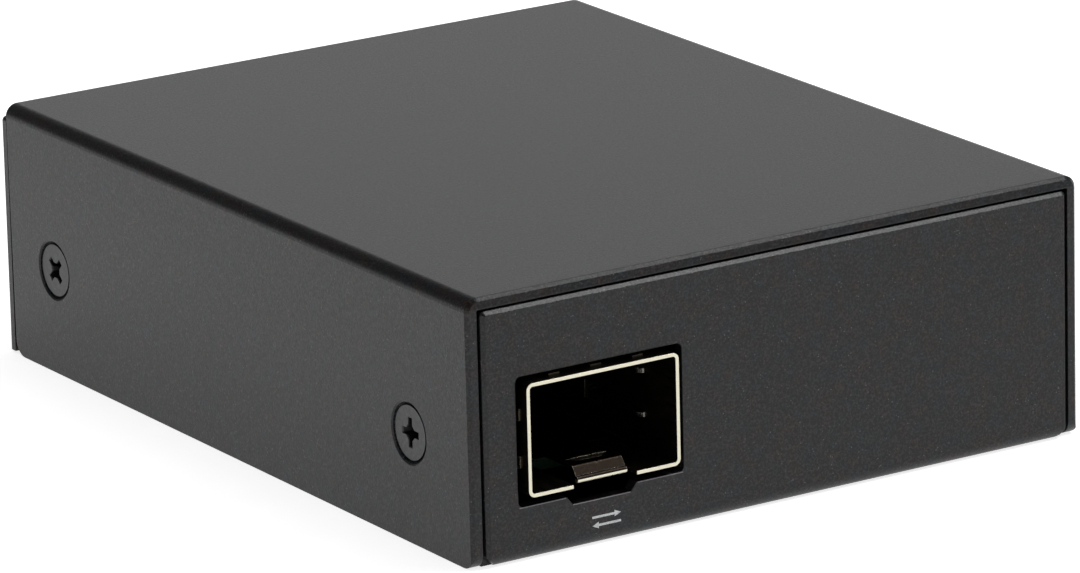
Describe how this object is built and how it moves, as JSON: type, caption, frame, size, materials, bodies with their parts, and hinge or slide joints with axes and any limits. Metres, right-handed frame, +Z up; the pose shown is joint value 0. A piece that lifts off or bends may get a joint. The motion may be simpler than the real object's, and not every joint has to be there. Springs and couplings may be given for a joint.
{
  "type": "fibre media converter",
  "caption": "Small folded-steel box that converts between a plug-in fibre transceiver at one end and a copper network cable at the other.",
  "frame": {"origin": "on the surface the case rests on, under the middle of the case's overall length and width", "axes": "+Z up; the transceiver slot faces -Y, the network jack and power inlet face +Y; +X is to the right seen from the slot"},
  "size_m": [0.061, 0.079, 0.023],
  "materials": {
    "powder_coat": "fine-textured matt charcoal powder coat",
    "black_screw_finish": "blackened steel, satin",
    "zinc_plated_steel": "bright zinc plating",
    "board_laminate": "green solder mask on glass-fibre laminate",
    "nickel_silver": "bare nickel-silver sheet, slightly warm, satin",
    "bright_nickel": "nickel plating",
    "black_moulding": "black moulded connector plastic",
    "gold_contact": "gold-plated contacts",
    "green_lens": "translucent green lens, unlit",
    "yellow_lens": "translucent yellow lens, unlit",
    "chip_package": "black epoxy package",
    "ferrite": "dark grey ferrite",
    "capacitor_can": "bare aluminium can",
    "ceramic_body": "tan ceramic body with tinned ends"
  },
  "bodies": {
    "root": {"top_cover": "powder_coat", "base_tray": "powder_coat", "cover_screws": "black_screw_finish", "board_standoffs": "zinc_plated_steel", "board_screws": "zinc_plated_steel", "circuit_board": "board_laminate", "transceiver_cage_shell": "nickel_silver", "transceiver_cage_floor": "nickel_silver", "transceiver_cage_collar": "nickel_silver", "transceiver_connector": "black_moulding", "transceiver_contacts": "gold_contact", "network_jack_shell": "bright_nickel", "network_jack_housing": "black_moulding", "network_jack_contacts": "gold_contact", "network_jack_green_lens": "green_lens", "network_jack_yellow_lens": "yellow_lens", "power_inlet_housing": "black_moulding", "power_inlet_pin": "bright_nickel", "power_inlet_spring": "bright_nickel", "status_light_holder": "black_moulding", "status_light_lenses": "green_lens", "converter_chip": "chip_package", "memory_chip": "chip_package", "power_regulator": "chip_package", "isolation_transformer": "chip_package", "clock_crystal": "bright_nickel", "power_coil": "ferrite", "buffer_capacitors": "capacitor_can", "input_fuse": "ceramic_body", "ceramic_capacitors": "ceramic_body", "chip_resistors": "chip_package"}
  },
  "joints": []
}
